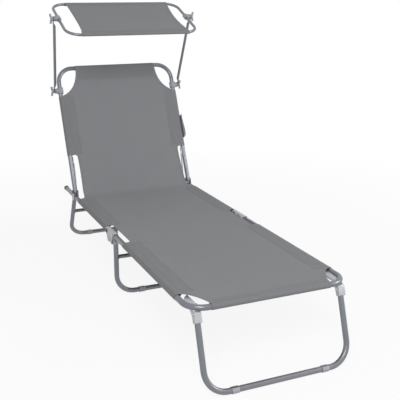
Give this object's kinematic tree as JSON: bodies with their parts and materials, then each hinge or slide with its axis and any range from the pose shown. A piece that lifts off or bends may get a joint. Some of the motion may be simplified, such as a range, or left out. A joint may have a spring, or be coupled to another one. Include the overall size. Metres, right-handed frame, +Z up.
{
  "type": "sun lounger with canopy",
  "caption": "Folding tubular sun lounger with a stretched sling, a backrest on notched props and a tilting sun shade on clamped arms.",
  "frame": {"origin": "on the floor, midway between the foot end's and the head end's outermost points, on the centre line", "axes": "+Z up, +Y towards the head end, +X to the right seen from the foot end"},
  "size_m": [0.6692, 1.6187, 1.0895],
  "materials": {
    "frame_paint": "grey powder coat, satin",
    "bracket_steel": "pale zinc-plated pressed steel",
    "rivet_steel": "bright plated steel",
    "sling_fabric": "mid grey coated mesh weave",
    "cap_plastic": "dark moulded cap",
    "foot_plastic": "grey moulded clip",
    "knob_plastic": "grey moulded nylon"
  },
  "bodies": {
    "seat": {"seat_rail_left": "frame_paint", "seat_rail_right": "frame_paint", "rail_end_cap_left": "cap_plastic", "rail_end_cap_right": "cap_plastic", "backrest_hinge_left": "bracket_steel", "backrest_hinge_right": "bracket_steel", "backrest_rivet_left": "rivet_steel", "backrest_rivet_right": "rivet_steel", "prop_pin_left": "rivet_steel", "prop_pin_right": "rivet_steel", "rear_leg_bracket_left": "bracket_steel", "rear_leg_bracket_right": "bracket_steel", "rear_leg_rivet_left": "rivet_steel", "rear_leg_rivet_right": "rivet_steel", "seat_sling": "sling_fabric"},
    "middle_leg": {"hinge_channel_left": "bracket_steel", "hinge_channel_right": "bracket_steel", "hinge_rivet_front_left": "rivet_steel", "hinge_rivet_front_right": "rivet_steel", "hinge_rivet_rear_left": "rivet_steel", "hinge_rivet_rear_right": "rivet_steel", "middle_leg_tube": "frame_paint", "middle_leg_crossbar": "frame_paint", "middle_leg_foot_left": "foot_plastic", "middle_leg_foot_right": "foot_plastic", "hinge_sling": "sling_fabric"},
    "foot_section": {"foot_frame_tube": "frame_paint", "foot_sling": "sling_fabric", "front_leg_bracket_left": "bracket_steel", "front_leg_bracket_right": "bracket_steel", "front_leg_rivet_left": "rivet_steel", "front_leg_rivet_right": "rivet_steel"},
    "front_leg": {"front_leg_tube": "frame_paint", "front_leg_foot_left": "foot_plastic", "front_leg_foot_right": "foot_plastic"},
    "rear_leg": {"rear_leg_tube": "frame_paint", "rear_leg_crossbar": "frame_paint", "rear_leg_foot_left": "foot_plastic", "rear_leg_foot_right": "foot_plastic"},
    "backrest": {"backrest_tube": "frame_paint", "backrest_sling": "sling_fabric", "side_pocket": "sling_fabric", "notch_plate_left": "bracket_steel", "notch_plate_right": "bracket_steel", "arm_clamp_left": "knob_plastic", "arm_clamp_right": "knob_plastic"},
    "prop_left": {"prop_bar_left": "bracket_steel"},
    "prop_right": {"prop_bar_right": "bracket_steel"},
    "canopy_arms": {"canopy_arm_left": "frame_paint", "canopy_arm_right": "frame_paint"},
    "shade": {"shade_frame": "frame_paint", "shade_cloth": "sling_fabric", "shade_clamp_left": "knob_plastic", "shade_clamp_right": "knob_plastic"},
    "arm_nut_left": {"arm_wing_nut_left": "knob_plastic"},
    "arm_nut_right": {"arm_wing_nut_right": "knob_plastic"},
    "shade_nut_left": {"shade_wing_nut_left": "knob_plastic"},
    "shade_nut_right": {"shade_wing_nut_right": "knob_plastic"}
  },
  "joints": [
    {"name": "middle_leg_fold", "type": "hinge", "parent": "seat", "child": "middle_leg", "pos_m": [0, 0.05695, 0.26], "axis": [1, 0, 0], "range_deg": [0, 90]},
    {"name": "foot_section_fold", "type": "hinge", "parent": "middle_leg", "child": "foot_section", "pos_m": [0, -0.00705, 0.26], "axis": [1, 0, 0], "range_deg": [0, 90]},
    {"name": "front_leg_fold", "type": "hinge", "parent": "foot_section", "child": "front_leg", "pos_m": [0, -0.72265, 0.24], "axis": [1, 0, 0], "range_deg": [0, 108]},
    {"name": "rear_leg_fold", "type": "hinge", "parent": "seat", "child": "rear_leg", "pos_m": [0, 0.66165, 0.24], "axis": [-1, 0, 0], "range_deg": [0, 118]},
    {"name": "backrest_recline", "type": "hinge", "parent": "seat", "child": "backrest", "pos_m": [0, 0.56595, 0.2815], "axis": [1, 0, 0], "range_deg": [-65.83, 0]},
    {"name": "prop_left_swing", "type": "hinge", "parent": "seat", "child": "prop_left", "pos_m": [0, 0.59195, 0.276], "axis": [1, 0, 0], "range_deg": [-75.7, 0]},
    {"name": "prop_right_swing", "type": "hinge", "parent": "seat", "child": "prop_right", "pos_m": [0, 0.59195, 0.276], "axis": [1, 0, 0], "range_deg": [-75.7, 0]},
    {"name": "canopy_arm_swing", "type": "hinge", "parent": "backrest", "child": "canopy_arms", "pos_m": [0, 0.75655, 0.70619], "axis": [-1, 0, 0], "range_deg": [-70, 180]},
    {"name": "shade_tilt", "type": "hinge", "parent": "canopy_arms", "child": "shade", "pos_m": [0, 0.63569, 1.02773], "axis": [1, 0, 0], "range_deg": [-90, 90]},
    {"name": "arm_nut_left_turn", "type": "hinge", "parent": "backrest", "child": "arm_nut_left", "pos_m": [0, 0.75655, 0.70619], "axis": [-1, 0, 0], "continuous": true},
    {"name": "shade_nut_left_turn", "type": "hinge", "parent": "shade", "child": "shade_nut_left", "pos_m": [0, 0.63569, 1.02773], "axis": [-1, 0, 0], "continuous": true},
    {"name": "arm_nut_right_turn", "type": "hinge", "parent": "backrest", "child": "arm_nut_right", "pos_m": [0, 0.75655, 0.70619], "axis": [1, 0, 0], "continuous": true},
    {"name": "shade_nut_right_turn", "type": "hinge", "parent": "shade", "child": "shade_nut_right", "pos_m": [0, 0.63569, 1.02773], "axis": [1, 0, 0], "continuous": true}
  ],
  "couplings": [
    {"joint": "prop_left_swing", "follows": "backrest_recline", "ratio": 1.1491},
    {"joint": "prop_right_swing", "follows": "backrest_recline", "ratio": 1.1491}
  ]
}
